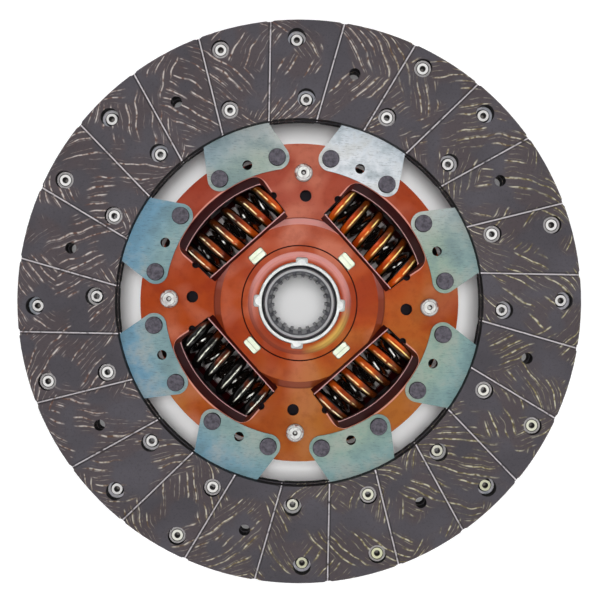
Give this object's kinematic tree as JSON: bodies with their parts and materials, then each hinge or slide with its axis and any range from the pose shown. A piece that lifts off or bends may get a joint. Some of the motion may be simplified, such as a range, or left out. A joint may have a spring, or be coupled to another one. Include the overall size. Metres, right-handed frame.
{
  "type": "clutch disc",
  "caption": "Sprung clutch friction disc: grooved facings on cushion plates, riveted side plates with windowed coil springs, splined hub.",
  "frame": {"origin": "centre of the hub's rear end face", "axes": "+Z along the disc axis, out of the side with the raised plate centre; +X through a tooling hole of the front side plate"},
  "size_m": [0.2748, 0.2748, 0.035],
  "materials": {
    "facing": "matt woven friction lining with brass and copper wire",
    "plate": "glossy copper-red varnish on pressed steel",
    "cushion_steel": "heat-tinted spring steel, satin",
    "rivet_steel": "matt grey steel",
    "copper_rivet": "dull coppered steel",
    "pin_steel": "bright turned steel",
    "bush": "light grey moulded resin",
    "friction": "matt friction lining",
    "pale_steel": "pale zinc-plated steel",
    "spring_steel": "dark oil-tempered wire, glossy",
    "inner_spring_steel": "black oil-tempered wire",
    "hub_steel": "phosphated forged steel"
  },
  "bodies": {
    "disc": {"front_facing": "facing", "rear_facing": "facing", "cushion_plate_1": "cushion_steel", "cushion_plate_2": "cushion_steel", "cushion_plate_3": "cushion_steel", "cushion_plate_4": "cushion_steel", "cushion_plate_5": "cushion_steel", "cushion_plate_6": "cushion_steel", "cushion_plate_7": "cushion_steel", "cushion_plate_8": "cushion_steel", "front_plate": "plate", "rear_plate": "plate", "stop_pin_1": "pin_steel", "stop_pin_2": "pin_steel", "stop_pin_3": "pin_steel", "stop_pin_4": "pin_steel", "cushion_rivets": "rivet_steel", "facing_rivets_front": "copper_rivet", "facing_rivets_rear": "copper_rivet", "front_bush": "bush", "rear_bush": "bush", "front_friction_washer": "friction", "rear_friction_washer": "friction", "lug_washer": "pale_steel", "cone_spring": "spring_steel"},
    "hub": {"hub": "hub_steel"},
    "springs": {"damper_spring_1": "spring_steel", "damper_spring_2": "spring_steel", "damper_spring_3": "spring_steel", "damper_spring_4": "spring_steel", "inner_spring_1": "inner_spring_steel", "inner_spring_2": "inner_spring_steel", "inner_spring_3": "inner_spring_steel", "inner_spring_4": "inner_spring_steel"}
  },
  "joints": [
    {"name": "hub_turn", "type": "hinge", "parent": "disc", "child": "hub", "pos_m": [0, 0, 0.021], "axis": [0, 0, 1], "range_deg": [-6, 9], "stiffness_Nm_per_rad": 20},
    {"name": "spring_shift", "type": "hinge", "parent": "disc", "child": "springs", "pos_m": [0, 0, 0.021], "axis": [0, 0, 1], "range_deg": [-3, 4.5], "deforming": ["damper_spring_1", "damper_spring_2", "damper_spring_3", "damper_spring_4", "inner_spring_1", "inner_spring_2", "inner_spring_3", "inner_spring_4"]}
  ],
  "couplings": [
    {"joint": "spring_shift", "follows": "hub_turn", "ratio": 0.5}
  ]
}
